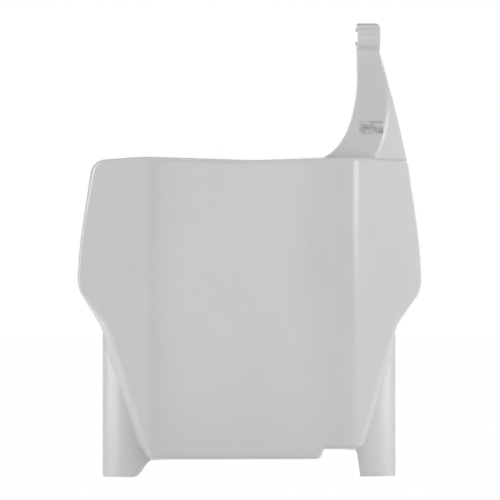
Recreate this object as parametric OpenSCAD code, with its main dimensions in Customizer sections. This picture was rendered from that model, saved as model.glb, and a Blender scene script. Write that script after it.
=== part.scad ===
// Front number board of an off-road motorcycle, a shell moulded in one piece.
// A gently bowed panel has two wings swept back along upright creases. Two curved legs hang lower
// and further back, and one arm rises beside the top edge to a snap hook for a 12.7 mm crossbar.
// X is the viewer's right, the front faces -Y, Z is up, and the origin is the crossbar's axis.

/* [Panel] */
// Distance between the two upright creases
crease_span = 148; // [130:1:160]
// Height of the panel's top edge at its middle, above its bottom edge
panel_h = 214.6; // [200:0.1:230]
// Rise of the top edge from its middle to the creases
crown = 2.6; // [0.5:0.1:4]
// How far the panel falls back from its middle to a crease
panel_bow = 3.9; // [1:0.1:8]
// Bend radius of the upright creases
crease_r = 17; // [8:0.5:24]
// Wall thickness of the panel, wings and legs
wall = 2.5; // [2:0.1:3.2]

/* [Wings] */
// Angle that the wings are swept back from the plane of the panel
sweep = 26; // [20:0.5:40]
// Distance between the widest points of the two wings
span = 249.8; // [240:0.2:265]
// Height of the widest points above the panel's bottom edge
wide_z = 121.9; // [112:0.1:132]
// Distance between the top corners of the wings
shoulder_span = 228; // [220:0.2:238]
// Distance between the knees where the wings' lower edges meet the ridges
knee_span = 212.4; // [205:0.2:225]
// Height of the knees above the panel's bottom edge
knee_z = 96.8; // [85:0.1:105]
// Distance between the lower ends of the two ridges
foot_span = 151; // [146:1:158]

/* [Edges] */
// Rounding of the rim along the top, the bottom and the ridges
rim_r = 3; // [2:0.1:3.2]
// Rounding of the wings' upright edges
edge_r = 1.2; // [0.8:0.1:2]
// Depth of the return wall along the top edge
top_return = 6.5; // [4:0.5:9]
// Depth of the return wall along the bottom edge
lip = 5; // [3.5:0.5:8]
// Depth of the narrow bead along the wings' upright edges
bead = 3.4; // [3.3:0.1:4.5]
// Draft angle of the return walls
draft = 6; // [2:0.5:9]
// How far the walls behind the two ridges slope outward before they meet the legs
ridge_reach = 3.6; // [1:0.1:6]

/* [Hose notch] */
// Left end of the notch, measured from the middle of the panel
notch_x = 47.9; // [35:0.1:55]
// Height of the notch
notch_h = 7.2; // [4:0.1:9]
// Width that the slanted side of the notch takes up
notch_slant = 2.8; // [2.5:0.1:7]

/* [Legs] */
// Distance between the outer edges of the two legs
leg_span = 213.6; // [208:0.2:222]
// Width of the left leg at its foot, seen from the front
left_foot_w = 21.4; // [19:0.1:24]
// Width of the right leg at its foot, seen from the front
right_foot_w = 27.7; // [25:0.1:29]
// Setback of the legs' inner, flat part behind the middle of the panel
leg_setback = 17; // [15:0.5:22]
// Bend radius of the legs
leg_r = 34; // [30:0.5:38]
// Angle that the legs turn back at their outer edge
leg_turn = 66; // [60:1:80]
// How far the legs reach below the panel's bottom edge
leg_drop = 13.5; // [11:0.5:20]

/* [Arm] */
// Setback of the arm's face behind the middle of the panel, at the panel's top
arm_setback = 13.1; // [11:0.1:15]
// Angle that the arm leans back
arm_lean = 5.5; // [3:0.5:8]
// Wall thickness of the arm
arm_wall = 3; // [2.5:0.1:4]
// Left end of the arm's foot, measured from the middle of the panel
arm_foot_x = 38; // [32:0.5:44]
// Height above the panel's top edge where the arm's left side turns upright
arm_rise = 63.4; // [55:0.1:72]

/* [Hook] */
// Diameter of the crossbar
bar_d = 12.7; // [10:0.1:14]
// Gap all round between the crossbar and the hook
bar_gap = 0.15; // [0.05:0.05:0.3]
// Wall thickness of the hook
hook_wall = 3.2; // [2.5:0.1:4]
// Width of the hook along the crossbar
hook_w = 16.5; // [12:0.5:20]
// Middle of the hook, measured from the middle of the panel
hook_x = 84.9; // [80:0.1:90]
// Height of the crossbar's axis above the panel's top edge
hook_rise = 90.1; // [85:0.1:100]
// Angle of the hook's opening, which faces back
hook_open = 80; // [70:1:110]

/* [Label] */
// Width of the blank foil label on the arm
label_w = 17.6; // [12:0.1:18]
// Height of the label
label_h = 9.2; // [6:0.1:12]
// Thickness of the label
label_t = 0.2; // [0.15:0.05:0.4]
// Height of the label's middle above the panel's top edge
label_rise = 24.3; // [20:0.1:40]

/* [Hidden] */
$fn = 96;

// Half sizes and slopes that the shapes share
crease_x = crease_span / 2;
wing_slope = tan(sweep);
crease_b = crease_r * tan((sweep - atan(2 * panel_bow / crease_x)) / 2);
top_z = panel_h + crown;
ridge_slope = (knee_span - foot_span) / 2 / knee_z;
shoulder_x = shoulder_span / 2;
shoulder_fall = 2.5;
shoulder_z = top_z - shoulder_fall;
crown_out = 5;
crown_x = crease_x + crown_out;
notch_end = notch_x + notch_slant;

// Outline: the largest angle between two points of a corner, and the corners' radii
arc_step = 9;
foot_r = 5;
knee_r = 25;
wide_r = 20;
bend_r = 300;
top_r = 200;
left_shoulder_r = 11;
right_shoulder_r = 3.5;
notch_out_r = 3.4;
notch_in_r = 2;

// Place of the slight bend in each wing's upright edge, and the left shoulder's share of the top rim
bend_in = 1;
bend_fall = 17;
bend_x = span / 2 - bend_in;
bend_z = (wide_z + shoulder_z) / 2 - bend_fall;
shoulder_rim = 0.6;
shoulder_return = mix(bead, top_return, shoulder_rim);
shoulder_rim_r = mix(edge_r, rim_r, shoulder_rim);

// Leg section: a flat inner part, then an arc that ends at the outer edge
leg_x = leg_span / 2 - leg_r * sin(leg_turn);
leg_len = leg_r * leg_turn * PI / 180;
leg_seat = wall / 2;
leg_over = 0.3;
leg_rear = leg_setback + leg_r - (leg_r - wall) * cos(leg_turn);
leg_foot_x = foot_span / 2 - 3.6;
leg_corner_r = 2;
leg_lap = 1;
leg_curve_w = leg_span / 2 - left_foot_w - leg_foot_x;
leg_notch_x = foot_span / 2 + 1.7;
leg_notch_r = 4.5;
leg_flare = leg_span / 2 - right_foot_w - leg_notch_x;

// Heights and distances over which the return wall deepens to meet the legs and the arm. The walls
// behind the ridges start to slope between two distances from their lower ends, stop between two
// heights below the knees, and stay inside the legs' outer edges.
knee_low = 9;
knee_high = 2;
leg_blend = 14;
reach_low = [0.5, 4];
reach_high = [8, 1];
reach_inset = 2.3;
arm_blend_x = 9;
arm_blend_z = [8, 5];

// Hook: a ring that is open to the rear, with a fillet below it and a thin web on its left
hook_r = bar_d / 2 + bar_gap;
hook_out = hook_r + hook_wall;
hook_z = panel_h + hook_rise;
hook_inset = 3.2;
hook_corner_r = 3;
hook_fillet = 3;
web_w = 2.5;
web_drop = 28;
web_lap = 0.4;

// Arm: the flared quarter ellipse of its left side, its crease and its right side
arm_left = hook_x - hook_w / 2;
arm_lap = 0.7;
arm_top_z = hook_z - hook_out + arm_lap;
arm_slope = tan(arm_lean);
arm_crease_x = 98.3;
arm_crease_z = panel_h + 41.6;
arm_crease_bend = 0.0058;
arm_crease_b = 2.8;
arm_top_in = 0.35;
arm_right_top = hook_x + hook_w / 2 - arm_top_in;
arm_right_in = 0.1;
arm_right_foot = shoulder_x - arm_right_in;
arm_bulge = 0.45;
arm_edge = 0.8;
arm_flare = 0.77;
arm_seat = 1.6;
hook_y = arm_front(arm_left, hook_z - hook_out) + hook_inset;

// Label: its middle is a little right of the hook's
label_shift = 1.25;
label_x = hook_x + label_shift;
label_z = panel_h + label_rise;
label_corner = 0.6;

function mix(a, b, t) = a + (b - a) * t;
function ramp(v, a, b) = let (t = min(1, max(0, (v - a) / (b - a)))) t * t * (3 - 2 * t);

// Setback of the shield's front face, and its slope, at a distance x from the middle
function bow(a) = panel_bow * pow(a / crease_x, 2);
function bow_slope(a) = 2 * panel_bow * a / pow(crease_x, 2);
function wing(a) = panel_bow + (a - crease_x) * wing_slope;
function bend(a) = let (
    l = 2 * crease_b, a0 = crease_x - crease_b, t = (a - a0) / l,
    y0 = bow(a0), y1 = wing(crease_x + crease_b), s0 = bow_slope(a0) * l, s1 = wing_slope * l)
    y0 + s0 * t + (3 * (y1 - y0) - 2 * s0 - s1) * t * t + (2 * (y0 - y1) + s0 + s1) * t * t * t;
function front(x) = let (a = abs(x))
    a < crease_x - crease_b ? bow(a) : a > crease_x + crease_b ? wing(a) : bend(a);
function steep(x) = let (e = 0.05) (front(abs(x) + e) - front(abs(x) - e)) / (2 * e);
function back(x) = front(x) + wall * sqrt(1 + pow(steep(x), 2));

// Setback of the leg's front face at a distance x, and the ridge's place at a height z
function leg_front(x) = leg_setback
    + (x < leg_x ? 0 : leg_r * (1 - sqrt(max(0, 1 - pow(min(1, (x - leg_x) / leg_r), 2)))));
function ridge(z) = foot_span / 2 + ridge_slope * z;
function wall_reach(a, z) = let (
    share = ramp(a - foot_span / 2, reach_low[0], reach_low[1])
        * (1 - ramp(z, knee_z - reach_high[0], knee_z - reach_high[1])))
    max(0, min(ridge_reach, leg_span / 2 - reach_inset - a)) * share;
function wall_to_leg(a, z) = let (
    on_leg = min(leg_span / 2 - leg_lap / 2,
        a + max(tan(draft) * (leg_front(a) - front(a)), wall_reach(a, z))),
    seat = leg_front(on_leg) + leg_seat, knee = ramp(z, knee_z - knee_low, knee_z - knee_high))
    mix(seat, leg_rear + leg_over, knee) - front(a);

// The arm's front face, its crease and its two sides
function arm_crease(z) = arm_crease_x - arm_crease_bend * pow(z - arm_crease_z, 2);
function soft(v, b) = v < -b ? 0 : v > b ? v : pow(v + b, 2) / (4 * b);
function arm_front(x, z) = arm_setback + (z - panel_h - crown) * arm_slope
    + wing_slope * soft(x - arm_crease(z), arm_crease_b);
function arm_right(z) = let (t = (z - shoulder_z) / (arm_top_z - shoulder_z))
    mix(arm_right_foot, arm_right_top, t) + arm_bulge * 4 * t * (1 - t);
function top_edge(x) = abs(x) < crown_x ? mix(panel_h, top_z, abs(x) / crown_x)
    : mix(top_z, shoulder_z, (abs(x) - crown_x) / (shoulder_x - crown_x));

// Outline of the shield seen from the front: x, z, corner radius, return depth and rim rounding
outline = [
    [-foot_span / 2, 0, foot_r, lip, rim_r],
    [notch_x, 0, notch_out_r, lip, rim_r],
    [notch_end, notch_h, notch_in_r, lip, rim_r],
    [ridge(notch_h), notch_h, foot_r, lip, rim_r],
    [knee_span / 2, knee_z, knee_r, lip, rim_r],
    [span / 2, wide_z, wide_r, bead, edge_r],
    [bend_x, bend_z, bend_r, bead, edge_r],
    [shoulder_x, shoulder_z, right_shoulder_r, bead, edge_r],
    [crown_x, top_z, top_r, top_return, rim_r],
    [0, panel_h, top_r, top_return, rim_r],
    [-crown_x, top_z, top_r, top_return, rim_r],
    [-shoulder_x, shoulder_z, left_shoulder_r, shoulder_return, shoulder_rim_r],
    [-bend_x, bend_z, bend_r, bead, edge_r],
    [-span / 2, wide_z, wide_r, bead, edge_r],
    [-knee_span / 2, knee_z, knee_r, lip, rim_r]];

// Places across the shield that need points of their own, so that its curves stay smooth
bow_steps = 9;
crease_steps = 6;
place_gap = 0.8;
half_places = concat(
    [for (i = [1:bow_steps]) (crease_x - crease_b) * i / bow_steps],
    [for (i = [1:crease_steps]) crease_x - crease_b + 2 * crease_b * i / crease_steps],
    [mix(crease_x, shoulder_x, 0.25), mix(crease_x, shoulder_x, 0.5)]);
places = concat([for (i = [len(half_places) - 1:-1:0]) -half_places[i]], [0], half_places);

// Points of the outline, each with its outward direction, its return depth and its rim rounding
function unit(v) = v / norm(v);
function corner(i) = let (
    n = len(outline), p = outline[i],
    a = unit([p[0], p[1]] - [outline[(i + n - 1) % n][0], outline[(i + n - 1) % n][1]]),
    b = unit([outline[(i + 1) % n][0], outline[(i + 1) % n][1]] - [p[0], p[1]]),
    turn = atan2(a[0] * b[1] - a[1] * b[0], a[0] * b[0] + a[1] * b[1]),
    reach = p[2] * tan(abs(turn) / 2))
    [[p[0], p[1]] - a * reach, [p[0], p[1]] + b * reach, a, turn];
function corner_points(i) = let (
    p = outline[i], c = corner(i), start = c[0], a = c[2], turn = c[3], s = sign(turn),
    centre = start + s * p[2] * [-a[1], a[0]], steps = max(2, ceil(abs(turn) / arc_step)))
    [for (k = [0:steps]) let (g = turn * k / steps,
        m = [a[1] * cos(g) + a[0] * sin(g), -a[0] * cos(g) + a[1] * sin(g)])
        [centre + s * p[2] * m, m, p[3], p[4]]];
function side_points(i) = let (
    j = (i + 1) % len(outline), p = corner(i)[1], q = corner(j)[0], d = unit(q - p), m = [d[1], -d[0]],
    lo = min(p[0], q[0]) + place_gap, hi = max(p[0], q[0]) - place_gap,
    cuts = [for (x = places) if (x > lo && x < hi) (x - p[0]) / (q[0] - p[0])],
    order = q[0] > p[0] ? cuts : [for (k = [len(cuts) - 1:-1:0]) cuts[k]])
    [for (t = order) [mix(p, q, t), m, mix(outline[i][3], outline[j][3], t),
        mix(outline[i][4], outline[j][4], t)]];
loop = [for (i = [0:len(outline) - 1]) each concat(corner_points(i), side_points(i))];

// Depth of the return wall: it reaches the legs behind the ridges, and the arm behind the top
function return_depth(p) = let (
    x = p[0][0], z = p[0][1], a = abs(x), x0 = arm_foot_x,
    low = ramp(a, crease_x - leg_blend, crease_x) * (1 - ramp(z, knee_z + knee_high, wide_z)),
    to_leg = wall_to_leg(a, z),
    high = ramp(x, x0 - arm_blend_x, x0 - 1) * ramp(z, top_z - arm_blend_z[0], top_z - arm_blend_z[1]),
    to_arm = arm_front(x, top_z) + arm_wall / 2 - front(x))
    max(bead, mix(mix(p[2], to_leg, low), to_arm, high));

// One ring of the shield's skin, at a step k between the front face and the back face
function ring(k) = [for (p = loop) let (
    o = p[0], m = p[1], r = p[3], h = return_depth(p),
    d = max(tan(draft), wall_reach(abs(o[0]), o[1]) / h),
    edge = [o[0], front(o[0]), o[1]], out = [m[0], 0, m[1]],
    a = [o[0] - r * m[0], front(o[0] - r * m[0]), o[1] - r * m[1]],
    b = edge + d * r * out + [0, r, 0], rear = edge + d * h * out + [0, h, 0],
    inner = [o[0] - wall * m[0], back(o[0] - wall * m[0]), o[1] - wall * m[1]])
    k == 5 ? rear : k == 6 ? rear - wall * out : k == 7 ? inner
    : let (t = k / 4) (1 - t) * (1 - t) * a + 2 * t * (1 - t) * edge + t * t * b];

// Triangles that join an upper and a lower chain of points from left to right
function zip(pts, up, low, i = 0, j = 0) =
    i == len(up) - 1 && j == len(low) - 1 ? []
    : i < len(up) - 1 && (j == len(low) - 1 || pts[up[i + 1]][0] <= pts[low[j + 1]][0])
        ? concat([[up[i], up[i + 1], low[j]]], zip(pts, up, low, i + 1, j))
        : concat([[up[i], low[j + 1], low[j]]], zip(pts, up, low, i, j + 1));
function cap(pts, up, low) = let (u = len(up) - 1, l = len(low) - 1) concat(
    [[up[0], up[1], low[1]], [up[u - 1], up[u], low[l - 1]]],
    zip(pts, [for (i = [1:u - 1]) up[i]], [for (i = [1:l - 1]) low[i]]));
function flip(faces) = [for (f = faces) [for (i = [len(f) - 1:-1:0]) f[i]]];

// Panel and wings with their rounded rim and return wall, as one closed skin
module shield() {
    n = len(loop);
    last = 7;
    xs = [for (p = loop) p[0][0]];
    right = search(max(xs), xs)[0];
    left = search(min(xs), xs)[0];
    up = [for (i = [left:-1:right]) i];
    low = [for (i = [left:right + n]) i % n];
    skin = [for (k = [0:last]) each ring(k)];
    sides = [for (k = [0:last - 1]) for (i = [0:n - 1]) let (j = (i + 1) % n)
        each [[k * n + i, k * n + j, k * n + n + i], [k * n + j, k * n + n + j, k * n + n + i]]];
    fore = cap(skin, up, low);
    aft = cap([for (i = [0:n - 1]) skin[last * n + i]], up, low);
    polyhedron(skin, concat(sides, fore, flip([for (f = aft) [for (i = f) i + last * n]])));
}

// A sheet lofted through level sections, each a list of front points and one of back points
module loft(rows) {
    c = len(rows[0][0]);
    n = 2 * c;
    pts = [for (r = rows) each concat(r[0], [for (i = [c - 1:-1:0]) r[1][i]])];
    top = (len(rows) - 1) * n;
    walls = [for (k = [0:len(rows) - 2]) for (i = [0:n - 1]) let (j = (i + 1) % n)
        each [[k * n + i, k * n + n + i, k * n + j], [k * n + j, k * n + n + i, k * n + n + j]]];
    foot = [for (i = [0:c - 2]) each [[i, i + 1, n - 1 - i], [i + 1, n - 2 - i, n - 1 - i]]];
    head = flip([for (f = foot) [for (i = f) i + top]]);
    polyhedron(pts, concat(walls, foot, head));
}

// One leg: its inner side is a chain of x and z, and its outer side is straight
function leg_point(u, depth, z) = let (g = max(0, u) / leg_r * 180 / PI)
    [leg_x + min(0, u) + (leg_r - depth) * sin(g), leg_setback + leg_r - (leg_r - depth) * cos(g), z];
function leg_u(x) = x < leg_x ? x - leg_x : leg_r * asin(min(1, (x - leg_x) / leg_r)) * PI / 180;
function leg_row(x, z, foot) = let (
    s = max(0, foot + leg_corner_r - z), u1 = leg_len - (leg_corner_r - sqrt(leg_corner_r ^ 2 - s * s)),
    u0 = min(leg_u(x), u1 - 2), c = arm_edge, n = 12)
    [concat([leg_point(u0, c, z)], [for (i = [0:n]) leg_point(mix(u0 + c, u1 - c, i / n), 0, z)],
        [leg_point(u1, c, z)]),
    concat([leg_point(u0, wall - c, z)], [for (i = [0:n]) leg_point(mix(u0 + c, u1 - c, i / n), wall, z)],
        [leg_point(u1, wall - c, z)])];
module leg(inner_side) {
    foot = inner_side[0][1];
    rise = [for (i = [1:10]) let (z = mix(notch_h, knee_z, i / 10)) [ridge(z) - 0.6, z]];
    loft([for (p = concat(inner_side, rise)) leg_row(p[0], p[1], foot)]);
}

// The left leg's inner side is one S-curve, and the right leg's drops from the hose notch
left_side = concat([for (t = [1:-0.1:-0.01])
    [leg_foot_x + leg_curve_w * t, -leg_lap - (leg_drop - leg_lap) * (1 - cos(180 * t)) / 2]],
    [[leg_foot_x + leg_lap, 2 * leg_lap]]);
right_side = concat(
    [for (t = [0:0.2:1]) [leg_notch_x + (1 - t) * leg_flare, -leg_drop * (1 - t)]],
    [for (g = [18:18:72]) [leg_notch_x - leg_notch_r * (1 - cos(g)), (notch_h - leg_lap / 2) * sin(g)]]);

// Upper arm: a curved left side, a crease that continues the wing, and a right side
arm_steps = 12;
side_steps = 6;
function arm_row(x0, z) = let (
    x1 = arm_right(z), f = min(0.92, (arm_crease(z) - x0) / (x1 - x0)), c = arm_edge,
    across = concat([for (i = [0:side_steps]) f * (1 - pow(1 - i / side_steps, 2))],
        [for (i = [1:side_steps - 1]) f + (1 - f) * pow(i / (side_steps - 1), 2)]),
    xs = [for (t = across) mix(x0 + c, x1 - c, t)])
    [concat([[x0, c, z]], [for (x = xs) [x, 0, z]], [[x1, c, z]]),
    concat([[x0, arm_wall - c, z]], [for (x = xs) [x, arm_wall, z]], [[x1, arm_wall - c, z]])];
function on_arm(row) = [for (s = row) [for (p = s) [p[0], arm_front(p[0], p[2]) + p[1], p[2]]]];
function drop_to_rim(row) = [for (s = row) [for (p = s) [p[0], p[1], top_edge(p[0]) - arm_seat]]];
module arm() {
    foot_z = top_edge(arm_foot_x) - arm_seat / 4;
    head_z = panel_h + arm_rise;
    rows = concat(
        [drop_to_rim(arm_row(arm_foot_x - 1, shoulder_z))],
        [for (i = [0:arm_steps]) let (g = 90 * i / arm_steps)
            arm_row(mix(arm_foot_x, arm_left, pow(sin(g), arm_flare)), mix(head_z, foot_z, cos(g)))],
        [for (t = [0.5, 1]) arm_row(arm_left, mix(head_z, arm_top_z, t))]);
    loft([for (r = rows) on_arm(r)]);
}

// A flat shape drawn in Y and Z, made solid from x = 0 to x = w
module across(w) {
    rotate([90, 0, 90]) linear_extrude(w) children();
}

// The hook's side view: an open ring with round lips, and a fillet below it on the arm's face
module hook_side() {
    lip_r = hook_wall / 2;
    half = hook_open / 2;
    far = 2 * hook_out;
    face_y = arm_front(arm_left, hook_z - hook_out) - hook_y;
    well = [face_y - hook_fillet, -sqrt((hook_out + hook_fillet) ^ 2 - (face_y - hook_fillet) ^ 2)];
    difference() {
        circle(hook_out);
        circle(hook_r);
        polygon([[0, 0], far * [cos(half), sin(half)], [far * 2, 0], far * [cos(half), -sin(half)]]);
    }
    for (s = [-1, 1]) translate((hook_r + lip_r) * [cos(half), s * sin(half)]) circle(lip_r);
    difference() {
        polygon([well + [hook_fillet + arm_wall / 2, 0], well, well * hook_out / (hook_out + hook_fillet),
            [face_y + arm_wall / 2, -hook_r - hook_wall / 2]]);
        translate(well) circle(hook_fillet);
    }
}

// Snap hook whose top right corner is rounded, seen from the front
module hook() {
    foot = -2 * hook_out;
    intersection() {
        across(hook_w) hook_side();
        rotate([90, 0, 0]) translate([0, foot, -2 * hook_out]) linear_extrude(4 * hook_out) union() {
            square([hook_w - hook_corner_r, hook_out - foot]);
            square([hook_w, hook_out - foot - hook_corner_r]);
            translate([hook_w - hook_corner_r, hook_out - foot - hook_corner_r]) circle(hook_corner_r);
        }
    }
}

// Thin web on the left, from the hook's lower lip down the back of the arm
module web() {
    mid = -hook_r - hook_wall / 2;
    back_y = arm_front(arm_left, hook_z - web_drop) + arm_wall / 2 - hook_y;
    across(web_w) polygon([[back_y, -web_drop], [back_y + arm_wall / 2 + web_lap, -web_drop],
        [hook_wall * 1.3, mid], [-hook_wall / 3, mid]]);
}

// Everything is drawn with the panel's bottom edge at z = 0, then moved to the crossbar's axis
module to_origin() {
    translate([-hook_x, -hook_y, -hook_z]) children();
}

module number_board() {
    color("whitesmoke") to_origin() {
        shield();
        leg(right_side);
        mirror([1, 0, 0]) leg(left_side);
        arm();
        translate([arm_left, hook_y, hook_z]) {
            hook();
            web();
        }
    }
}

module foil_label() {
    color("silver") to_origin()
        translate([label_x, arm_front(arm_left, label_z), label_z]) rotate([90 - arm_lean, 0, 0])
            linear_extrude(label_t) union() {
                square([label_w - 2 * label_corner, label_h], center = true);
                square([label_w, label_h - 2 * label_corner], center = true);
                for (sx = [-1, 1], sz = [-1, 1])
                    translate([sx * (label_w / 2 - label_corner), sz * (label_h / 2 - label_corner)])
                        circle(label_corner);
            }
}

number_board();
foil_label();
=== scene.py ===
# %% [markdown]
# # Front number board of an off-road motorcycle
#
# The real board is one injection moulding in white plastic. A wide, gently bowed panel carries two
# wings that sweep back, two curved legs that hang lower and further back, and one arm that rises
# beside the top edge and ends in a snap hook for the handlebar's crossbar. A thin silver label is
# stuck on the arm.
#
# The lesson builds the moulding from five closed shapes: a sheet that is laid out flat and folded by
# a node tree, two legs, the arm and the hook. They are united into one mesh, as the plastic is one.

# %% Load the fixed frame
import math
import bpy
import bmesh
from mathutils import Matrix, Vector


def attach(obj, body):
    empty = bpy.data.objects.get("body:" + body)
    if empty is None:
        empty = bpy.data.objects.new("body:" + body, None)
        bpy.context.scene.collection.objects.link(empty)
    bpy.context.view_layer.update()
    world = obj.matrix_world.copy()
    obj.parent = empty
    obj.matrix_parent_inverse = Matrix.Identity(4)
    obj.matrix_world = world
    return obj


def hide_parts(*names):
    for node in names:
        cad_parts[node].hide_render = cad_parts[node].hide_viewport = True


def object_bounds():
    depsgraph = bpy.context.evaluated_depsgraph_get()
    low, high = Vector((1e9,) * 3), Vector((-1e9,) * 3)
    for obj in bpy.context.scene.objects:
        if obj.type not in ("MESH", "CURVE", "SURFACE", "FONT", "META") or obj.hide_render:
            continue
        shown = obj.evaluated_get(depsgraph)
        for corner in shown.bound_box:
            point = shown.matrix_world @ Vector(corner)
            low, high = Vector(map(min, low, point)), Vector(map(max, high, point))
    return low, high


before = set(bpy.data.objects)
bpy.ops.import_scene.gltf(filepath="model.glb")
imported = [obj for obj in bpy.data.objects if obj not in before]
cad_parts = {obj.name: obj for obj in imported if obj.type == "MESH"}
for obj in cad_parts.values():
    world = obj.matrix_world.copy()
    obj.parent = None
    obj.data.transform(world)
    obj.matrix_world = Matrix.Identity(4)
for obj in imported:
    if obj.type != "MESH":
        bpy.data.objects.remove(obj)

cad_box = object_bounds()
print("fixed box in millimetres:", [[round(v * 1000, 1) for v in corner] for corner in cad_box])

# %% [markdown]
# ## The camera
#
# The photograph was taken level, from a little to the viewer's left, with a long lens. An aim point
# on the panel, a distance and a yaw angle give the camera's place. All sizes in this file are in
# millimetres with the panel's bottom edge at height zero and its front middle at depth zero, and
# `place` moves a point to the shared frame, whose origin is the crossbar's axis.

# %% Sizes that everything shares, and the camera
HOOK_X, HOOK_Z, HOOK_W = 84.9, 304.7, 16.5
ARM_SETBACK, ARM_LEAN, HOOK_INSET, HOOK_OUT = 13.1, 5.5, 3.2, 9.7
PANEL_H, CROWN = 214.6, 2.6
ARM_SLOPE = math.tan(math.radians(ARM_LEAN))
HOOK_Y = ARM_SETBACK + (HOOK_Z - HOOK_OUT - PANEL_H - CROWN) * ARM_SLOPE + HOOK_INSET


def place(x, y, z):
    return Vector(((x - HOOK_X) / 1000, (y - HOOK_Y) / 1000, (z - HOOK_Z) / 1000))


def aim_camera(aim, distance, yaw, lens):
    data = bpy.data.cameras.new("camera")
    data.lens, data.sensor_width = lens, 36.0
    data.clip_start, data.clip_end = 0.05, 30.0
    camera = bpy.data.objects.new("camera", data)
    bpy.context.scene.collection.objects.link(camera)
    forward = Vector((math.sin(math.radians(yaw)), math.cos(math.radians(yaw)), 0.0))
    camera.location = aim - forward * distance
    camera.rotation_euler = (math.radians(90), 0.0, -math.radians(yaw))
    bpy.context.scene.camera = camera
    return camera


camera = aim_camera(place(-3.1, 0.0, 150.3), distance=6.0, yaw=5.6, lens=600.0)
print("camera at", [round(v, 3) for v in camera.location])

# %% [markdown]
# ## Small helpers
#
# `mix` goes from one value to another, `ramp` rises from 0 to 1 with a soft start and end, and
# `make_mesh` turns lists of points and faces into an object. Building from lists keeps every point
# where the maths puts it, which matters on a part whose whole look is its gentle curves. `maths`
# adds a sum to a node tree, and the folding tree, the materials and the floor all use it.

# %% Helpers
def mix(a, b, t):
    return a + (b - a) * t


def ramp(v, a, b):
    t = min(1.0, max(0.0, (v - a) / (b - a)))
    return t * t * (3 - 2 * t)


def make_mesh(name, points, faces):
    mesh = bpy.data.meshes.new(name)
    mesh.from_pydata([tuple(c / 1000 for c in p) for p in points], [], faces)
    bm = bmesh.new()
    bm.from_mesh(mesh)
    bmesh.ops.remove_doubles(bm, verts=bm.verts, dist=1e-7)
    bmesh.ops.recalc_face_normals(bm, faces=bm.faces)
    bm.to_mesh(mesh)
    bm.free()
    obj = bpy.data.objects.new(name, mesh)
    bpy.context.scene.collection.objects.link(obj)
    return obj


def baked(obj, name):
    """Returns a plain mesh object with the modifiers of obj applied, and removes obj."""
    bpy.context.view_layer.update()
    graph = bpy.context.evaluated_depsgraph_get()
    mesh = bpy.data.meshes.new_from_object(obj.evaluated_get(graph), depsgraph=graph)
    bpy.data.objects.remove(obj)
    mesh.name = name
    result = bpy.data.objects.new(name, mesh)
    bpy.context.scene.collection.objects.link(result)
    return result


def open_edges(obj):
    bm = bmesh.new()
    bm.from_mesh(obj.data)
    count = sum(1 for e in bm.edges if not e.is_manifold)
    bm.free()
    return count


def maths(tree, operation, *values):
    """Adds a Math node to any node tree. Each value is a number or another node's output."""
    node = tree.nodes.new("ShaderNodeMath")
    node.operation = operation
    for socket, value in zip(node.inputs, values):
        if isinstance(value, (int, float)):
            socket.default_value = value
        else:
            tree.links.new(value, socket)
    return node.outputs[0]


print("helpers ready")

# %% [markdown]
# ## How the sheet is folded
#
# Seen from above, the panel is a shallow arc, and each wing is a straight line that leaves it at an
# upright crease. One rule gives both: the arc is a parabola, the wing is a slope, and the depth is
# whichever is larger, with a soft change between them. Blender's Smooth Maximum does exactly that,
# so the same rule is written here for laying out the sheet, and in the node tree that folds it.

# %% The rule of the fold
CREASE_X, BOW, WALL = 74.0, 3.9, 2.5
WING_SLOPE = math.tan(math.radians(26.0))
CREASE_SOFT = 2.1


def fold(x):
    a = abs(x)
    arc, wing = BOW * (a / CREASE_X) ** 2, BOW + (a - CREASE_X) * WING_SLOPE
    h = max(CREASE_SOFT - abs(arc - wing), 0.0) / CREASE_SOFT
    return max(arc, wing) + h ** 3 * CREASE_SOFT / 6


def behind(x):
    """Depth of the sheet's back face, a wall's thickness behind the front at right angles to it."""
    steep = (fold(abs(x) + 0.05) - fold(abs(x) - 0.05)) / 0.1
    return fold(x) + WALL * math.sqrt(1 + steep * steep)


print("depth of the fold at the middle, crease and wing tip:", [round(fold(x), 2) for x in (0, 74, 125)])

# %% [markdown]
# ## The outline
#
# Seen from the front the shield is a polygon with rounded corners. Each corner holds its place, its
# radius, how deep the wall behind the edge is, and how round the rim is there. The rim is round and
# deep along the top, the bottom and the two slanting ridges, and only a narrow bead on the wings.

# %% Outline of the shield
FOOT, KNEE_X, KNEE_Z, TIP_X, TIP_Z = 75.5, 106.2, 96.8, 124.9, 121.9
TOP_Z = PANEL_H + CROWN
SHOULDER_X, SHOULDER_Z, CROWN_X = 114.0, TOP_Z - 2.5, CREASE_X + 5
NOTCH_X, NOTCH_END, NOTCH_H = 47.9, 50.7, 7.2
BEND_X, BEND_Z = TIP_X - 1, (TIP_Z + SHOULDER_Z) / 2 - 17
LIP, BEAD, TOP_RETURN, RIM_R, EDGE_R = 5.0, 3.4, 6.5, 3.0, 1.2
LEFT_RETURN, LEFT_RIM_R = mix(BEAD, TOP_RETURN, 0.6), mix(EDGE_R, RIM_R, 0.6)
FOOT_R, KNEE_R, TIP_R, BEND_R, TOP_R = 5, 25, 20, 300, 200


def ridge(z):
    return FOOT + (KNEE_X - FOOT) / KNEE_Z * z


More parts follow.
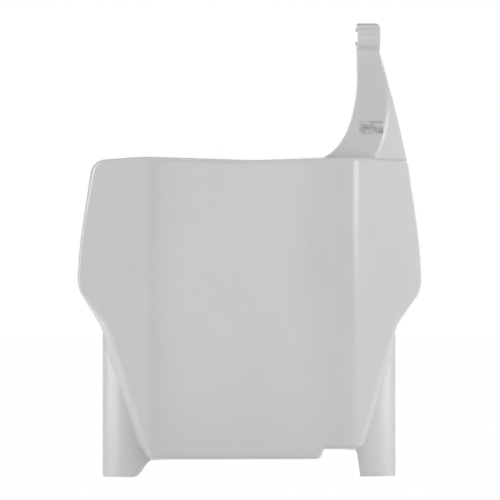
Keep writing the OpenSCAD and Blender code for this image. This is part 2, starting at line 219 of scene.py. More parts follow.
# From the lower left corner, anticlockwise as seen from the front
outline = [
    (-FOOT, 0, FOOT_R, LIP, RIM_R), (NOTCH_X, 0, 3.4, LIP, RIM_R),
    (NOTCH_END, NOTCH_H, 2, LIP, RIM_R), (ridge(NOTCH_H), NOTCH_H, FOOT_R, LIP, RIM_R),
    (KNEE_X, KNEE_Z, KNEE_R, LIP, RIM_R), (TIP_X, TIP_Z, TIP_R, BEAD, EDGE_R),
    (BEND_X, BEND_Z, BEND_R, BEAD, EDGE_R), (SHOULDER_X, SHOULDER_Z, 3.5, BEAD, EDGE_R),
    (CROWN_X, TOP_Z, TOP_R, TOP_RETURN, RIM_R), (0, PANEL_H, TOP_R, TOP_RETURN, RIM_R),
    (-CROWN_X, TOP_Z, TOP_R, TOP_RETURN, RIM_R),
    (-SHOULDER_X, SHOULDER_Z, 11, LEFT_RETURN, LEFT_RIM_R),
    (-BEND_X, BEND_Z, BEND_R, BEAD, EDGE_R), (-TIP_X, TIP_Z, TIP_R, BEAD, EDGE_R),
    (-KNEE_X, KNEE_Z, KNEE_R, LIP, RIM_R)]


def rounded_corner(i, step=3.0):
    """Points of one rounded corner: place, outward direction, wall depth and rim radius."""
    x, z, r, depth, rim = outline[i]
    p, before, after = Vector((x, z)), outline[i - 1], outline[(i + 1) % len(outline)]
    a = (p - Vector(before[:2])).normalized()
    b = (Vector(after[:2]) - p).normalized()
    turn = math.atan2(a.x * b.y - a.y * b.x, a.dot(b))
    start = p - a * r * math.tan(abs(turn) / 2)
    side = math.copysign(1.0, turn)
    centre = start + side * r * Vector((-a.y, a.x))
    count = max(3, math.ceil(abs(math.degrees(turn)) / step))
    points = []
    for k in range(count + 1):
        g = turn * k / count
        m = Vector((a.y * math.cos(g) + a.x * math.sin(g), -a.x * math.cos(g) + a.y * math.sin(g)))
        points.append((centre + side * r * m, m, depth, rim))
    return points


def whole_loop(spacing=3.0):
    corners = [rounded_corner(i) for i in range(len(outline))]
    loop = []
    for i, corner in enumerate(corners):
        loop += corner
        p, q = corner[-1], corners[(i + 1) % len(corners)][0]
        count = int((q[0] - p[0]).length / spacing)
        loop += [(p[0].lerp(q[0], k / count), p[1], mix(p[2], q[2], k / count), mix(p[3], q[3], k / count))
                 for k in range(1, count)]
    return loop


loop = whole_loop()
print("outline:", len(outline), "corners,", len(loop), "points")

# %% [markdown]
# ## How deep the edge wall reaches
#
# On the real board the slanting ridges and the foot of the arm are where the shield hands over to
# the legs and the arm behind it. So the wall behind the edge grows deeper there until it meets them,
# and everywhere else it is only a stiffening lip. Behind the ridges it also slopes outward, which
# gives them their broad, bright band instead of a hard step.

# %% Depth of the wall behind the edge
DRAFT, RIDGE_REACH = math.tan(math.radians(6.0)), 3.6
LEG_EDGE, LEG_SET, LEG_R, LEG_TURN = 106.8, 17.0, 34.0, math.radians(66.0)
LEG_X = LEG_EDGE - LEG_R * math.sin(LEG_TURN)
LEG_REAR = LEG_SET + LEG_R - (LEG_R - WALL) * math.cos(LEG_TURN)
ARM_FOOT_X, ARM_WALL = 38.0, 3.0
ARM_CREASE_X, ARM_CREASE_Z, ARM_CREASE_BEND, ARM_CREASE_SOFT = 98.3, PANEL_H + 41.6, 0.0058, 2.8
# Distances across or heights between which the wall changes from one kind to the next
REACH_STARTS, REACH_ENDS = (FOOT + 0.5, FOOT + 4), (KNEE_Z - 8, KNEE_Z - 1)
LOW_STARTS, LOW_ENDS, AT_KNEE = (CREASE_X - 14, CREASE_X), (KNEE_Z + 2, TIP_Z), (KNEE_Z - 9, KNEE_Z - 2)
ARM_STARTS, NEAR_TOP = (ARM_FOOT_X - 9, ARM_FOOT_X - 1), (TOP_Z - 8, TOP_Z - 5)


def leg_front(x):
    return LEG_SET + (0.0 if x < LEG_X else
                      LEG_R * (1 - math.sqrt(max(0.0, 1 - min(1.0, (x - LEG_X) / LEG_R) ** 2))))


def soft(v, b):
    """Zero below zero and v above it, with a soft change over a distance b on each side."""
    return 0.0 if v < -b else v if v > b else (v + b) ** 2 / (4 * b)


def arm_crease(z):
    return ARM_CREASE_X - ARM_CREASE_BEND * (z - ARM_CREASE_Z) ** 2


def arm_front(x, z):
    flat = ARM_SETBACK + (z - TOP_Z) * ARM_SLOPE
    return flat + WING_SLOPE * soft(x - arm_crease(z), ARM_CREASE_SOFT)


def wall_reach(x, z):
    """How far the wall slopes outward behind a ridge."""
    share = ramp(abs(x), *REACH_STARTS) * (1 - ramp(z, *REACH_ENDS))
    return max(0.0, min(RIDGE_REACH, LEG_EDGE - 2.3 - abs(x))) * share


def wall_depth(x, z, plain):
    a = abs(x)
    low = ramp(a, *LOW_STARTS) * (1 - ramp(z, *LOW_ENDS))
    on_leg = min(LEG_EDGE - 0.5, a + max(DRAFT * (leg_front(a) - fold(a)), wall_reach(x, z)))
    seat = leg_front(on_leg) + WALL / 2
    to_leg = mix(seat, LEG_REAR + 0.3, ramp(z, *AT_KNEE)) - fold(a)
    high = ramp(x, *ARM_STARTS) * ramp(z, *NEAR_TOP)
    to_arm = arm_front(x, TOP_Z) + ARM_WALL / 2 - fold(x)
    return max(BEAD, mix(mix(plain, to_leg, low), to_arm, high))


depths = [wall_depth(p[0].x, p[0].y, p[2]) for p in loop]
print("edge wall from", round(min(depths), 1), "to", round(max(depths), 1), "mm deep")

# %% [markdown]
# ## The shield, laid out flat
#
# The shield is made as one closed skin. Its section runs from the front face over a rounded rim,
# down the drafted wall, round the wall's rear edge, up its inside, and through a small fillet to the
# back face. The section goes round the outline ring by ring. The two faces are then cut at many
# upright lines, closest at the creases, because a fold needs points where it bends. Extruding a
# curve would be quicker, but it can't change the wall's depth on its way round.

# %% Build the flat skin
QUARTER = ((0, 1), (0.12, 0.4), (0.4, 0.12), (1, 0))


def section(p, depth, round_steps=8):
    """One section of the skin at a point of the loop: x, y and z of each of its points."""
    (x, z), m, r = p[0], p[1], p[3]
    lean = max(DRAFT, wall_reach(x, z) / depth)

    def at(u, v):
        return Vector((x + u * m.x, v, z + u * m.y))

    front_in = at(-r, fold(x - r * m.x))
    corner, wall_top = at(0, fold(x)), at(lean * r, fold(x) + r)
    points = [(1 - t) ** 2 * front_in + 2 * t * (1 - t) * corner + t * t * wall_top
              for t in (k / round_steps for k in range(round_steps + 1))]
    d, rear = lean * depth, fold(x) + depth
    back_in = at(-WALL, behind(x - WALL * m.x))
    e = min(0.6, 0.45 * (rear - back_in.y))
    points += [at(d - u * e, rear - v * e) for u, v in QUARTER]
    points += [at(d - WALL + u * e, rear - v * e) for u, v in reversed(QUARTER)]
    up = at(-WALL, behind(x - WALL * m.x) + e)
    far = at(-WALL - e, behind(x - (WALL + e) * m.x))
    points += [(1 - t) ** 2 * up + 2 * t * (1 - t) * back_in + t * t * far for t in (0, 0.35, 0.7, 1)]
    return [(q.x, q.y - fold(q.x), q.z) for q in points]


def fold_lines():
    near = [CREASE_X - 6 + 12 * k / 16 for k in range(17)]
    wide = [4.0 * k for k in range(1, 17)] + [CREASE_X + 10 + 6 * k for k in range(8)]
    return sorted({s * round(v, 3) for v in near + wide for s in (-1, 1)} | {0.0})


def flat_skin():
    rows = [section(p, d) for p, d in zip(loop, depths)]
    n, c = len(rows), len(rows[0])
    points = [q for row in rows for q in row]
    faces = [(i * c + k, ((i + 1) % n) * c + k, ((i + 1) % n) * c + k + 1, i * c + k + 1)
             for i in range(n) for k in range(c - 1)]
    faces.append([i * c for i in range(n)][::-1])
    faces.append([i * c + c - 1 for i in range(n)])
    skin = make_mesh("shield", points, faces)
    bm = bmesh.new()
    bm.from_mesh(skin.data)
    bmesh.ops.triangulate(bm, faces=[f for f in bm.faces if len(f.verts) > 4])
    for x in fold_lines():
        bmesh.ops.bisect_plane(bm, geom=bm.verts[:] + bm.edges[:] + bm.faces[:], dist=2e-5,
                               plane_co=(x / 1000, 0, 0), plane_no=(1, 0, 0))
    bmesh.ops.triangulate(bm, faces=bm.faces)
    bm.to_mesh(skin.data)
    bm.free()
    return skin


shield = flat_skin()
print("flat skin:", len(shield.data.polygons), "faces, open edges:", open_edges(shield))

# %% [markdown]
# ## Fold it with a node tree
#
# The tree takes the flat skin and moves every point back by the rule above. Its inputs are the sizes
# a designer would turn: the place of the creases, the bow, the slope of the wings and how soft the
# creases are. A Simple Deform modifier could bend a sheet too, but not along two creases at once.

# %% The folding tree
def folding_tree():
    tree = bpy.data.node_groups.new("fold_the_sheet", "GeometryNodeTree")
    face = tree.interface
    face.new_socket("Sheet", in_out="INPUT", socket_type="NodeSocketGeometry")
    sizes = {}
    for label, value in (("Crease place", CREASE_X), ("Bow", BOW), ("Crease softness", CREASE_SOFT)):
        socket = face.new_socket(label, in_out="INPUT", socket_type="NodeSocketFloat")
        sizes[socket.identifier] = value / 1000
    socket = face.new_socket("Wing slope", in_out="INPUT", socket_type="NodeSocketFloat")
    sizes[socket.identifier] = WING_SLOPE
    face.new_socket("Plastic", in_out="INPUT", socket_type="NodeSocketMaterial")
    face.new_socket("Folded", in_out="OUTPUT", socket_type="NodeSocketGeometry")
    nodes, links = tree.nodes, tree.links
    start, end = nodes.new("NodeGroupInput"), nodes.new("NodeGroupOutput")
    split = nodes.new("ShaderNodeSeparateXYZ")
    links.new(nodes.new("GeometryNodeInputPosition").outputs[0], split.inputs[0])
    crease, bow, softness = (start.outputs[k] for k in ("Crease place", "Bow", "Crease softness"))
    across = maths(tree, "ABSOLUTE", split.outputs["X"])
    share = maths(tree, "DIVIDE", across, crease)
    arc = maths(tree, "MULTIPLY", bow, maths(tree, "POWER", share, 2.0))
    past_crease = maths(tree, "SUBTRACT", across, crease)
    wing = maths(tree, "MULTIPLY_ADD", past_crease, start.outputs["Wing slope"], bow)
    shift = nodes.new("ShaderNodeCombineXYZ")
    links.new(maths(tree, "SMOOTH_MAX", arc, wing, softness), shift.inputs["Y"])
    move = nodes.new("GeometryNodeSetPosition")
    links.new(start.outputs["Sheet"], move.inputs["Geometry"])
    links.new(shift.outputs[0], move.inputs["Offset"])
    real, paint = nodes.new("GeometryNodeRealizeInstances"), nodes.new("GeometryNodeSetMaterial")
    links.new(move.outputs[0], real.inputs[0])
    links.new(real.outputs[0], paint.inputs["Geometry"])
    links.new(start.outputs["Plastic"], paint.inputs["Material"])
    links.new(paint.outputs[0], end.inputs[0])
    return tree, sizes


tree, sizes = folding_tree()
folding = shield.modifiers.new("Fold", "NODES")
folding.node_group = tree
for identifier, value in sizes.items():
    folding[identifier] = value
shield = baked(shield, "shield")
deep = max(v.co.y for v in shield.data.vertices)
print("folded shield reaches back", round(deep * 1000, 1), "mm; open edges:", open_edges(shield))

# %% [markdown]
# ## Sheets with rounded edges
#
# The legs and the arm are plates of even thickness whose outline changes with height. Each is a loft:
# a rounded section at every height, joined to the next. `plate` gives that section as pairs of a
# distance across and a depth, `spaced` says where it has points, and `loft` joins the sections and
# closes both ends.

# %% Loft helpers
PLATE_R, CLEAR = 0.8, 0.01


def spaced(lo, hi, shares):
    """Stops across a plate: its two edges, and the given shares of the flat between their roundings."""
    inset = PLATE_R + CLEAR
    return [lo] + [mix(lo + inset, hi - inset, share) for share in shares] + [hi]


def plate(stops, thick, steps=4):
    """Section of a plate through the given stops across, with its four edges rounded."""
    lo, hi, r = stops[0], stops[-1], PLATE_R
    turn = [math.radians(90 * k / steps) for k in range(steps + 1)]
    inner = [s for s in stops if lo + r < s < hi - r]
    front = [(lo + r - r * math.cos(g), r - r * math.sin(g)) for g in turn]
    front += [(s, 0.0) for s in inner]
    front += [(hi - r + r * math.sin(g), r - r * math.cos(g)) for g in turn]
    return front + [(u, thick - v) for u, v in reversed(front)]


def joined_rows(count, c):
    """Faces that join a number of closed rows of c points each, every row to the next."""
    return [(k * c + i, k * c + (i + 1) % c, (k + 1) * c + (i + 1) % c, (k + 1) * c + i)
            for k in range(count - 1) for i in range(c)]


def loft(name, rows):
    c = len(rows[0])
    points = [p for row in rows for p in row]
    faces = joined_rows(len(rows), c)
    for base in (0, (len(rows) - 1) * c):
        faces += [(base + i, base + i + 1, base + c - 2 - i, base + c - 1 - i) for i in range(c // 2 - 1)]
    return make_mesh(name, points, faces)


print("a plate section has", len(plate([0, 5, 10], WALL)), "points")

# %% [markdown]
# ## The legs
#
# The legs sit 17 mm behind the panel and curl back towards the fork. The left one's inner side is a
# soft S, and the right one drops straight from the notch that lets the brake hose through. Each is a
# loft from its foot up to the knee, where it disappears behind the ridge.

# %% Build the legs
LEG_DROP, LEG_LEN, LEG_CORNER_R = 13.5, LEG_R * LEG_TURN, 2.0
LEFT_FOOT_W, RIGHT_FOOT_W = 21.4, 27.7
LEFT_TOP_X, RIGHT_TOP_X, NOTCH_SIDE_R = FOOT - 3.6, FOOT + 1.7, 4.5


def leg_point(u, depth, z, side):
    g = max(0.0, u) / LEG_R
    return (side * (LEG_X + min(0.0, u) + (LEG_R - depth) * math.sin(g)),
            LEG_SET + LEG_R - (LEG_R - depth) * math.cos(g), z)


def leg_across(x):
    return x - LEG_X if x < LEG_X else LEG_R * math.asin(min(1.0, (x - LEG_X) / LEG_R))


def leg_row(x, z, foot, side, n=22):
    s = max(0.0, foot + LEG_CORNER_R - z)
    u1 = LEG_LEN - (LEG_CORNER_R - math.sqrt(LEG_CORNER_R ** 2 - s * s))
    u0 = min(leg_across(x), u1 - 2)
    stops = spaced(u0, u1, [k / n for k in range(n + 1)])
    return [leg_point(u, v, z, side) for u, v in plate(stops, WALL)]


rise = [(ridge(z) - 0.6, z) for z in (mix(NOTCH_H, KNEE_Z, k / 24) for k in range(1, 25))]
left_side = [(mix(LEFT_TOP_X, LEG_EDGE - LEFT_FOOT_W, t),
              -1 - (LEG_DROP - 1) * (1 - math.cos(math.pi * t)) / 2)
             for t in (1 - k / 24 for k in range(25))] + [(LEFT_TOP_X + 1, 2)]
right_side = [(mix(LEG_EDGE - RIGHT_FOOT_W, RIGHT_TOP_X, t), -LEG_DROP * (1 - t))
              for t in (k / 8 for k in range(9))]
right_side += [(RIGHT_TOP_X - NOTCH_SIDE_R * (1 - math.cos(math.radians(g))),
                (NOTCH_H - 0.5) * math.sin(math.radians(g))) for g in range(9, 73, 9)]


def even_foot(chain):
    """Adds points near the foot, where the outer corner is rounded."""
    foot = chain[0][1]
    extra = [(chain[0][0], foot + v) for v in (0.05, 0.2, 0.45)]
    return [chain[0]] + extra + [p for p in chain[1:] if p[1] > foot + 0.5]


legs = []
for name, side, chain in (("leg_right", 1, right_side), ("leg_left", -1, left_side)):
    rows = [leg_row(x, z, -LEG_DROP, side) for x, z in even_foot(chain) + rise]
    legs.append(loft(name, rows))
print("legs:", [(leg.name, len(leg.data.polygons), open_edges(leg)) for leg in legs])

# %% [markdown]
# ## The arm
#
# The arm's left side climbs as a flared quarter of an ellipse and then runs upright to the hook. Its
# right side carries on from the wing's corner. A crease runs up it, a little right of the middle,
# where the wing's slope fades into the arm's flat face. The points across are closest at the crease.

# %% Build the arm
ARM_LEFT, HEAD_Z, ARM_TOP = HOOK_X - HOOK_W / 2, PANEL_H + 63.4, HOOK_Z - HOOK_OUT + 0.7
FLARE, BULGE = 0.77, 0.45


def top_edge(x):
    a = abs(x)
    return (mix(PANEL_H, TOP_Z, a / CROWN_X) if a < CROWN_X
            else mix(TOP_Z, SHOULDER_Z, (a - CROWN_X) / (SHOULDER_X - CROWN_X)))


def arm_right(z):
    t = (z - SHOULDER_Z) / (ARM_TOP - SHOULDER_Z)
    return mix(SHOULDER_X - 0.1, HOOK_X + HOOK_W / 2 - 0.35, t) + BULGE * 4 * t * (1 - t)


def arm_row(x0, z, left=12, right=9):
    x1 = arm_right(z)
    f = min(0.92, (arm_crease(z) - x0) / (x1 - x0))
    shares = [f * (1 - (1 - k / left) ** 2) for k in range(left + 1)]
    shares += [f + (1 - f) * (k / right) ** 2 for k in range(1, right + 1)]
    return [(u, arm_front(u, z) + v, z) for u, v in plate(spaced(x0, x1, shares), ARM_WALL)]


def arm_rows(steps=36):
    foot_z = top_edge(ARM_FOOT_X) - 0.4
    seat = [(x, y + (top_edge(x) - 1.6 - SHOULDER_Z) * ARM_SLOPE, top_edge(x) - 1.6)
            for x, y, z in arm_row(ARM_FOOT_X - 1, SHOULDER_Z)]
    rows = [seat]
    for k in range(steps + 1):
        g = math.radians(90 * k / steps)
        rows.append(arm_row(mix(ARM_FOOT_X, ARM_LEFT, math.sin(g) ** FLARE),
                            mix(HEAD_Z, foot_z, math.cos(g))))
    return rows + [arm_row(ARM_LEFT, mix(HEAD_Z, ARM_TOP, k / 6)) for k in range(1, 7)]


arm = loft("arm", arm_rows())
print("arm:", len(arm.data.polygons), "faces, open edges:", open_edges(arm))

# %% [markdown]
# ## The snap hook
#
# The hook is a strap bent into most of a circle, open to the rear, so that it snaps over the 12.7 mm
# crossbar. Its two lips are round, so the bar can spread them. A rounded section is swept round the
# arc, and it thins to nothing at each lip. A small fillet fills the corner below it at the front, and
# a thin web on the left side stiffens the neck.

# %% Build the hook, its fillet and its web
BORE_R, HOOK_WALL, OPEN_HALF = 6.5, 3.2, math.radians(40.0)
TIP_CORNER_R, FILLET_R, WEB_W, WEB_DROP = 3.0, 3.0, 2.5, 28


def strap_section(along, middle, half, shift):
    """Rounded section of the strap at an angle along the arc, shifted in depth and height."""
    r = min(0.7, half * 0.9)
    turn = [math.radians(90 * k / 4) for k in range(5)]
    quarter = [(r - r * math.cos(g), r - r * math.sin(g)) for g in turn]
    ring = [(u, half - v) for u, v in quarter]
    ring += [(HOOK_W - u, half - v) for u, v in reversed(quarter)]
    ring += [(u, -v) for u, v in reversed(ring)]
    rows = []
    for u, v in ring:
        y = (middle + v) * math.cos(along) + shift[0]
        z = (middle + v) * math.sin(along) + shift[1]
        over = min(TIP_CORNER_R, max(0.0, z - (HOOK_OUT - TIP_CORNER_R)))
        limit = HOOK_W - TIP_CORNER_R + math.sqrt(TIP_CORNER_R ** 2 - over * over)
        rows.append((ARM_LEFT + u * limit / HOOK_W, HOOK_Y + y, HOOK_Z + z))
    return rows


def strap_rows(steps=72):
    middle, half = BORE_R + HOOK_WALL / 2, HOOK_WALL / 2

    def lip(end, way):
        rows = []
        for k in range(7):
            g = math.radians(84 * (6 - k) / 6)
            out = half * math.sin(g) * way
            shift = (-math.sin(end) * out, math.cos(end) * out)
            rows.append(strap_section(end, middle, half * math.cos(g), shift))
        return rows

    last = 2 * math.pi - OPEN_HALF
    arc = [strap_section(mix(OPEN_HALF, last, k / steps), middle, half, (0, 0)) for k in range(1, steps)]
    return lip(OPEN_HALF, -1) + arc + lip(last, 1)[::-1]


def side_plate(name, profile, width):
    """Plate from the arm's left side, with a profile in depth and height from the crossbar's axis."""
    n = len(profile)
    points = [(ARM_LEFT + x, HOOK_Y + y, HOOK_Z + z) for x in (0.02, width) for y, z in profile]
    faces = joined_rows(2, n) + [list(range(n)), [n + i for i in range(n)][::-1]]
    return make_mesh(name, points, faces)


strap = loft("strap", strap_rows())
face_y, strap_z = -HOOK_INSET, -(BORE_R + HOOK_WALL / 2)
well = (face_y - FILLET_R, -math.sqrt((HOOK_OUT + FILLET_R) ** 2 - (face_y - FILLET_R) ** 2))
touch = math.atan2(-well[1], -well[0])
curve = [(well[0] + FILLET_R * math.cos(g), well[1] + FILLET_R * math.sin(g))
         for g in (touch * k / 12 for k in range(13))]
inside_arm = face_y + ARM_WALL / 2
fillet = side_plate("hook_fillet", curve + [(inside_arm, strap_z), (inside_arm, well[1])], HOOK_W - 0.02)
web_y = ARM_SETBACK + (HOOK_Z - WEB_DROP - TOP_Z) * ARM_SLOPE + ARM_WALL / 2 - HOOK_Y
web = side_plate("hook_web", [(web_y, -WEB_DROP), (web_y + 1.9, -WEB_DROP), (4.2, strap_z), (-1, strap_z)],
                 WEB_W)
print("hook:", len(strap.data.polygons), "faces, open edges:",
      [open_edges(o) for o in (strap, fillet, web)])

# %% [markdown]
# ## One moulding
#
# All of these are one piece of plastic, so they are united. The Manifold solver keeps the closed
# shapes closed and is quick. After that, edges sharper than 35 degrees stay crisp, the others are
# shaded smooth, and normals are weighted by the size of the faces, so that the wide panel shades as
# one clean curve up to the rim.

# %% Unite, move to the shared frame and shade
def unite(name, first, others):
    for other in others:
        step = first.modifiers.new(other.name, "BOOLEAN")
        step.operation, step.solver, step.object = "UNION", "MANIFOLD", other
    whole = baked(first, name)
    for other in others:
        bpy.data.objects.remove(other)
    return whole


def in_frame(obj):
    for vertex in obj.data.vertices:
        vertex.co = place(*(vertex.co * 1000))
    return obj


def shade(obj, angle):
    obj.data.shade_smooth()
    obj.data.set_sharp_from_angle(angle=math.radians(angle))
    weigh = obj.modifiers.new("Weighted normals", "WEIGHTED_NORMAL")
    weigh.keep_sharp, weigh.mode, weigh.weight = True, "FACE_AREA_WITH_ANGLE", 60
    return baked(obj, obj.name)


board = shade(in_frame(unite("moulded_board", shield, legs + [arm, strap, fillet, web])), 35)
print("board:", len(board.data.polygons), "faces, open edges:", open_edges(board))

# %% [markdown]
# ## The foil label
#
# A thin silver label lies flat on the arm's face. On the real board it carries print, and here it is
# blank. It is a rounded rectangle with a soft top edge, laid on the arm's leaning plane, standing
# two tenths of a millimetre proud.

# %% Build the label
LABEL_W, LABEL_H, LABEL_T = 17.6, 9.2, 0.2
LABEL_X, LABEL_Z = HOOK_X + 1.25, PANEL_H + 24.3


def label_rows():
    turn = [math.radians(90 * k / 6) for k in range(7)]

    def ring(inset, lift):
        w, h, r = LABEL_W / 2 - inset, LABEL_H / 2 - inset, 0.6 - inset
        points = []
        for q, (sx, sz) in enumerate(((1, 1), (-1, 1), (-1, -1), (1, -1))):
            for g in turn:
                c = g + q * math.pi / 2
                points.append((sx * (w - r) + r * math.cos(c), lift, sz * (h - r) + r * math.sin(c)))
        return points

    return [ring(0.0, 0.0), ring(0.0, LABEL_T * 0.55), ring(0.06, LABEL_T * 0.88), ring(0.14, LABEL_T)]


def on_arm(u, lift, v):
    lean = math.radians(ARM_LEAN)
    y0 = arm_front(ARM_LEFT, LABEL_Z)
    return (LABEL_X + u, y0 + v * math.sin(lean) - lift * math.cos(lean),
            LABEL_Z + v * math.cos(lean) + lift * math.sin(lean))


rings = label_rows()
c = len(rings[0])
points = [on_arm(*p) for ring in rings for p in ring]
faces = joined_rows(len(rings), c) + [list(range(c))[::-1], [(len(rings) - 1) * c + i for i in range(c)]]
label = shade(in_frame(make_mesh("blank_label", points, faces)), 40)
print("label:", len(label.data.polygons), "faces, open edges:", open_edges(label))

# %% [markdown]
# ## White moulded plastic
#
# Polypropylene like this is a soft, slightly warm white with a satin skin, and a little light passes
# into it. Four things keep it from looking like flat paint: broad, faint clouds where the plastic
# flowed and cooled, a fine grain from the mould's surface, a roughness that changes a little over
# the part, and a slight translucency. A thin coat gives the skin its soft, narrow highlights. Noise
# on object coordinates makes the patterns, so nothing slides or stretches.

# %% Helpers for materials
def new_material(name):
    material = bpy.data.materials.new(name)
    material.use_nodes = True
    tree = material.node_tree
    return material, tree, tree.nodes["Principled BSDF"]


def set_inputs(node, values):
    for name, value in values.items():
        node.inputs[name].default_value = value


def noise(tree, source, scale, detail=3.0, rough=0.5, stretch=(1, 1, 1)):
    mapping = tree.nodes.new("ShaderNodeMapping")
    set_inputs(mapping, {"Scale": stretch})
    tree.links.new(source, mapping.inputs["Vector"])
    node = tree.nodes.new("ShaderNodeTexNoise")
    set_inputs(node, {"Scale": scale, "Detail": detail, "Roughness": rough})
    tree.links.new(mapping.outputs[0], node.inputs["Vector"])
    return node.outputs["Fac"]


def spread(tree, value, lo, hi):
    """Stretches the middle half of a noise to the range from lo to hi."""
    node = tree.nodes.new("ShaderNodeMapRange")
    set_inputs(node, {"From Min": 0.25, "From Max": 0.75, "To Min": lo, "To Max": hi})
    tree.links.new(value, node.inputs["Value"])
    return node.outputs[0]


def blend_colours(tree, fac, a, b):
    node = tree.nodes.new("ShaderNodeMix")
    node.data_type = "RGBA"
    tree.links.new(fac, node.inputs[0])
    node.inputs[6].default_value, node.inputs[7].default_value = (*a, 1), (*b, 1)
    return node.outputs[2]


def bump(tree, height, strength, distance, under=None):
    node = tree.nodes.new("ShaderNodeBump")
    set_inputs(node, {"Strength": strength, "Distance": distance})
    tree.links.new(height, node.inputs["Height"])
    if under:
        tree.links.new(under, node.inputs["Normal"])
    return node.outputs[0]


print("material helpers ready")

# %% Material for the board
PLASTIC_DARK, PLASTIC_LIGHT = (0.575, 0.575, 0.572), (0.610, 0.610, 0.608)
PLASTIC_SKIN = {"IOR": 1.49, "Coat Weight": 0.5, "Coat Roughness": 0.14, "Subsurface Weight": 0.3,
                "Subsurface Radius": (1.0, 1.0, 1.0), "Subsurface Scale": 0.0025}


def plastic():
    material, tree, shader = new_material("moulded_white_plastic")
    where = tree.nodes.new("ShaderNodeTexCoord").outputs["Object"]
    clouds = spread(tree, noise(tree, where, 14.0, 4.0, 0.55, (1.0, 1.0, 0.45)), 0.0, 1.0)
    tree.links.new(blend_colours(tree, clouds, PLASTIC_DARK, PLASTIC_LIGHT), shader.inputs["Base Color"])
    tree.links.new(spread(tree, noise(tree, where, 45.0), 0.36, 0.47), shader.inputs["Roughness"])
    wave = noise(tree, where, 22.0, 2.0, 0.4, (1.0, 1.0, 0.5))
    grain = noise(tree, where, 1500.0, 2.0, 0.6)
    low = bump(tree, wave, 0.25, 0.0006)
    tree.links.new(bump(tree, grain, 0.35, 0.00006, low), shader.inputs["Normal"])
    set_inputs(shader, PLASTIC_SKIN)
    return material


white = plastic()
board.data.materials.clear()
board.data.materials.append(white)
print("plastic has", len(white.node_tree.nodes), "nodes")

# %% [markdown]
# ## Silver foil
#
# The label is brushed metal foil under a clear film. Noise that is stretched along the label's length
# makes the brushing, in the colour, the roughness and the bump. A few broad darker patches stand in
# for handling marks. The film is a thin coat over the metal.

# %% Material for the label
FOIL_DARK, FOIL_LIGHT = (0.28, 0.28, 0.29), (0.88, 0.88, 0.89)
FOIL_FILM = {"Metallic": 0.9, "Coat Weight": 0.3, "Coat Roughness": 0.15}


def foil():
    material, tree, shader = new_material("brushed_foil")
    where = tree.nodes.new("ShaderNodeTexCoord").outputs["Object"]
    brushed = noise(tree, where, 900.0, 4.0, 0.6, (0.06, 1.0, 1.6))
    marks = noise(tree, where, 210.0, 2.0, 0.5, (0.6, 1.0, 1.0))
    both = maths(tree, "MULTIPLY", spread(tree, brushed, 0.3, 1.0), spread(tree, marks, 0.0, 1.1))
    tree.links.new(blend_colours(tree, both, FOIL_DARK, FOIL_LIGHT), shader.inputs["Base Color"])
    tree.links.new(spread(tree, brushed, 0.28, 0.46), shader.inputs["Roughness"])
    tree.links.new(bump(tree, brushed, 0.3, 0.00004), shader.inputs["Normal"])
    set_inputs(shader, FOIL_FILM)
    return material


silver = foil()
label.data.materials.clear()
label.data.materials.append(silver)
print("foil has", len(silver.node_tree.nodes), "nodes")

# %% [markdown]
# ## Put the pieces in place of their solids
#
# Both pieces replace their solid in the fixed frame, which is hidden, and ride on the one body.

# %% Pieces and the frame
for piece, node, slot in ((board, "number_board", "moulded_plastic"), (label, "foil_label", "label_foil")):
    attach(piece, "root")
    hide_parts(node)
    print(piece.name, "stands for", node)

# %% [markdown]
# ## Floor, surroundings and light
#
# The photograph is a cut-out on pure white. A pale floor just below the feet and white surroundings
# show white to the camera, while the floor still darkens a little where the board shades it. Large
# soft lamps give the even studio light. Two stand well to the sides and draw the bright bands on the
# ridges and legs. One small lamp to the right shows in the right crease alone, as only the bend there
# faces it. One in front gives the soft glow in the middle, one above lights the top rim, one lights
# the table in front, whose reflection fills the lower edges, and one lights the back.

# %% Stage
FLOOR_HALF, FLOOR_GAP, FLOOR_GLOW = 9.0, 0.0003, 0.985


def floor_material():
    """Pale and matt for the lamps' light, and nearly pure white as seen by the camera."""
    material, tree, shader = new_material("pale_floor")
    set_inputs(shader, {"Base Color": (0.9, 0.9, 0.9, 1), "Roughness": 0.9})
    light = tree.nodes.new("ShaderNodeEmission")
    set_inputs(light, {"Color": (1, 1, 1, 1)})
    path = tree.nodes.new("ShaderNodeLightPath").outputs
    seen = maths(tree, "MAXIMUM", path["Is Camera Ray"], path["Is Glossy Ray"])
    seen = maths(tree, "MAXIMUM", seen, path["Is Transmission Ray"])
    blend = tree.nodes.new("ShaderNodeMixShader")
    tree.links.new(maths(tree, "MULTIPLY", seen, FLOOR_GLOW), blend.inputs[0])
    tree.links.new(shader.outputs[0], blend.inputs[1])
    tree.links.new(light.outputs[0], blend.inputs[2])
    tree.links.new(blend.outputs[0], tree.nodes["Material Output"].inputs["Surface"])
    return material


def lay_floor(height):
    mesh = bpy.data.meshes.new("floor")
    corners = [(x, y, height) for x, y in ((-1, -1), (1, -1), (1, 1), (-1, 1))]
    mesh.from_pydata([(x * FLOOR_HALF, y * FLOOR_HALF, z) for x, y, z in corners], [], [(0, 1, 2, 3)])
    obj = bpy.data.objects.new("floor", mesh)
    bpy.context.scene.collection.objects.link(obj)
    mesh.materials.append(floor_material())


ground = cad_box[0][2] - FLOOR_GAP
lay_floor(ground)
print("floor at", round(ground * 1000, 1), "mm")

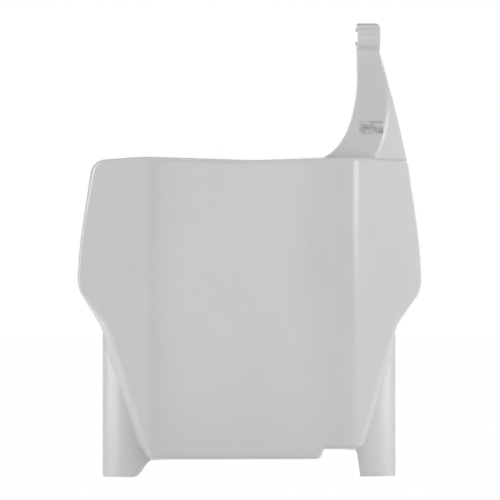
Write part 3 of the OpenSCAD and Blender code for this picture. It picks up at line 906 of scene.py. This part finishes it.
# %% Lamps and world
def soft_lamp(name, spot, target, size, power):
    data = bpy.data.lights.new(name, "AREA")
    data.shape, data.size, data.size_y, data.energy = "RECTANGLE", size[0], size[1], power
    lamp = bpy.data.objects.new(name, data)
    lamp.location = spot
    lamp.rotation_euler = (Vector(target) - Vector(spot)).to_track_quat("-Z", "Y").to_euler()
    bpy.context.scene.collection.objects.link(lamp)
    return lamp


middle = place(0, 10, 150)


def lamp_round(name, bearing, distance, lift, size, power):
    """Places a lamp by its bearing, in degrees to the viewer's right of straight in front."""
    g = math.radians(bearing)
    spot = middle + Vector((distance * math.sin(g), -distance * math.cos(g), lift))
    return soft_lamp(name, spot, middle, size, power)


lamp_round("lamp_glint", 42, 1.5, 0.15, (0.6, 0.3), 4.3)
lamp_round("lamp_front", 3, 2.2, 0.0, (0.8, 0.7), 5.0)
lamp_round("lamp_right_side", 92, 1.6, 0.35, (1.0, 1.2), 11.5)
lamp_round("lamp_left_side", -87, 1.6, 0.15, (1.0, 1.4), 19.0)
lamp_round("lamp_above", 180, 0.15, 1.5, (1.2, 0.6), 4.5)
lamp_round("lamp_rear", 165, 2.0, 0.3, (1.6, 1.2), 9.0)
over_table = middle + Vector((0.0, -0.9, 0.9))
soft_lamp("lamp_table", over_table, over_table - Vector((0, 0, 1)), (1.6, 0.6), 6.0)

# %% World and view
WORLD_LIGHT = 0.17

world = bpy.data.worlds.new("studio")
bpy.context.scene.world = world
world.use_nodes = True
nodes, links = world.node_tree.nodes, world.node_tree.links
around, seen_world = nodes["Background"], nodes.new("ShaderNodeBackground")
set_inputs(around, {"Color": (1, 1, 1, 1), "Strength": WORLD_LIGHT})
set_inputs(seen_world, {"Color": (1, 1, 1, 1), "Strength": 1.0})
path = nodes.new("ShaderNodeLightPath")
choose = nodes.new("ShaderNodeMixShader")
links.new(path.outputs["Is Camera Ray"], choose.inputs[0])
links.new(around.outputs[0], choose.inputs[1])
links.new(seen_world.outputs[0], choose.inputs[2])
links.new(choose.outputs[0], nodes["World Output"].inputs["Surface"])
bpy.context.scene.view_settings.view_transform = "Standard"
print("world lights with", WORLD_LIGHT, "and shows white")
